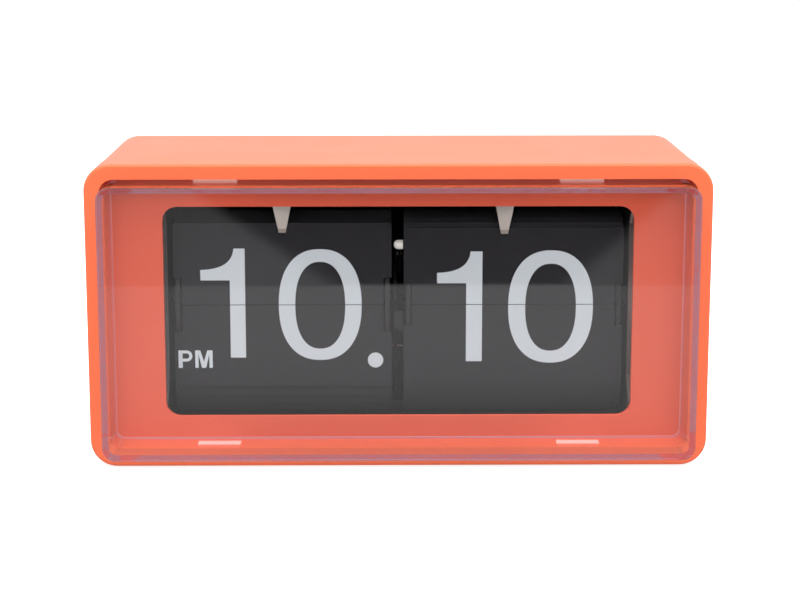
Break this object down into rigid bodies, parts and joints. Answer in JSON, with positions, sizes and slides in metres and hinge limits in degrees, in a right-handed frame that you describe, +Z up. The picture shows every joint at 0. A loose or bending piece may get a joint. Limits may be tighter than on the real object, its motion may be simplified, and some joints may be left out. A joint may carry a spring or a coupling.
{
  "type": "flip number clock",
  "caption": "Table flip clock in a rounded orange case, with hour and minute drums of falling number leaves behind a deep clear cover.",
  "frame": {"origin": "middle of the clock's bounding box at the surface that it stands on", "axes": "+Z up, +X to the right of the dial, the dial faces -Y"},
  "size_m": [0.21, 0.095, 0.105],
  "materials": {
    "orange_gloss": "gloss",
    "coral_matte": "satin",
    "clear_cover": "clear polished",
    "black_leaf": "matte",
    "black_plastic": "matte",
    "white_nylon": "satin",
    "bare_steel": "brushed",
    "plated_steel": "plated",
    "brass": "satin",
    "rubber": "matte",
    "cell_label": "gloss",
    "board": "satin",
    "copper": "varnished",
    "red_sleeve": "satin"
  },
  "bodies": {
    "case": {"axle_clips": "bare_steel", "battery_cell": "cell_label", "battery_holder": "black_plastic", "bottom_cross_bar": "bare_steel", "case_screws": "plated_steel", "centre_bracket": "black_plastic", "circuit_board": "board", "contact_plate": "plated_steel", "contact_spring": "plated_steel", "dial_panel": "coral_matte", "drive_housing": "black_plastic", "drive_lid": "black_plastic", "drum_axle": "plated_steel", "frame_screws": "plated_steel", "front_bezel": "orange_gloss", "gear_cover_plate": "bare_steel", "hour_leaf_lower": "black_leaf", "hour_leaf_next": "black_leaf", "hour_leaf_pack": "black_leaf", "hour_tongue": "bare_steel", "left_side_plate": "bare_steel", "lens_cover": "clear_cover", "lens_latches": "clear_cover", "lever_pin": "plated_steel", "minus_lead": "black_plastic", "minute_leaf_lower": "black_leaf", "minute_leaf_next": "black_leaf", "minute_leaf_pack": "black_leaf", "minute_tongue": "bare_steel", "motor_coil": "copper", "movement_screws": "plated_steel", "pillar_screws": "plated_steel", "plate_pillars": "brass", "plus_lead": "red_sleeve", "quartz_crystal": "plated_steel", "rear_case": "orange_gloss", "right_side_plate": "bare_steel", "rubber_feet": "rubber", "tongue_rivets": "brass", "top_cross_bar": "bare_steel"},
    "minute_drum": {"minute_spool": "black_plastic", "minute_gear": "white_nylon"},
    "hour_drum": {"hour_spool": "black_plastic"},
    "intermediate": {"intermediate_pinion": "brass", "intermediate_wheel": "white_nylon"},
    "drive_output": {"drive_pinion": "brass"},
    "setter": {"set_gear": "brass", "set_wheel": "black_plastic"},
    "hour_flap": {"hour_leaf_front": "black_leaf"},
    "minute_flap": {"minute_leaf_front": "black_leaf"},
    "lever": {"transfer_lever": "black_plastic", "transfer_peg": "white_nylon"},
    "door": {"battery_door": "orange_gloss"}
  },
  "joints": [
    {"name": "minute_drum_spin", "type": "hinge", "parent": "case", "child": "minute_drum", "pos_m": [0, -0.00115, 0.0532], "axis": [1, 0, 0], "continuous": true},
    {"name": "hour_drum_spin", "type": "hinge", "parent": "case", "child": "hour_drum", "pos_m": [0, -0.00115, 0.0532], "axis": [1, 0, 0], "continuous": true},
    {"name": "intermediate_spin", "type": "hinge", "parent": "case", "child": "intermediate", "pos_m": [0.088, 0.01913, 0.05863], "axis": [1, 0, 0], "continuous": true},
    {"name": "drive_output_spin", "type": "hinge", "parent": "case", "child": "drive_output", "pos_m": [0.088, 0.01622, 0.07518], "axis": [1, 0, 0], "continuous": true},
    {"name": "set_wheel_spin", "type": "hinge", "parent": "case", "child": "setter", "pos_m": [0.088, 0.035, 0.04893], "axis": [1, 0, 0], "continuous": true},
    {"name": "hour_leaf_fall", "type": "hinge", "parent": "case", "child": "hour_flap", "pos_m": [-0.04, -0.0154, 0.0532], "axis": [1, 0, 0], "range_deg": [0, 180], "deforming": ["hour_tongue"]},
    {"name": "minute_leaf_fall", "type": "hinge", "parent": "case", "child": "minute_flap", "pos_m": [0.04, -0.0154, 0.0532], "axis": [1, 0, 0], "range_deg": [0, 180], "deforming": ["minute_tongue"]},
    {"name": "transfer_lever_rock", "type": "hinge", "parent": "case", "child": "lever", "pos_m": [0.00045, 0.009, 0.067], "axis": [1, 0, 0], "range_deg": [-6, 6]},
    {"name": "battery_door_tip", "type": "hinge", "parent": "case", "child": "door", "pos_m": [-0.00475, 0.044, 0.0073], "axis": [-1, 0, 0], "range_deg": [0, 95]}
  ],
  "couplings": [
    {"joint": "hour_drum_spin", "follows": "minute_drum_spin", "ratio": 0.041667},
    {"joint": "intermediate_spin", "follows": "minute_drum_spin", "ratio": -4},
    {"joint": "drive_output_spin", "follows": "minute_drum_spin", "ratio": 12},
    {"joint": "set_wheel_spin", "follows": "minute_drum_spin", "ratio": 8.4}
  ]
}
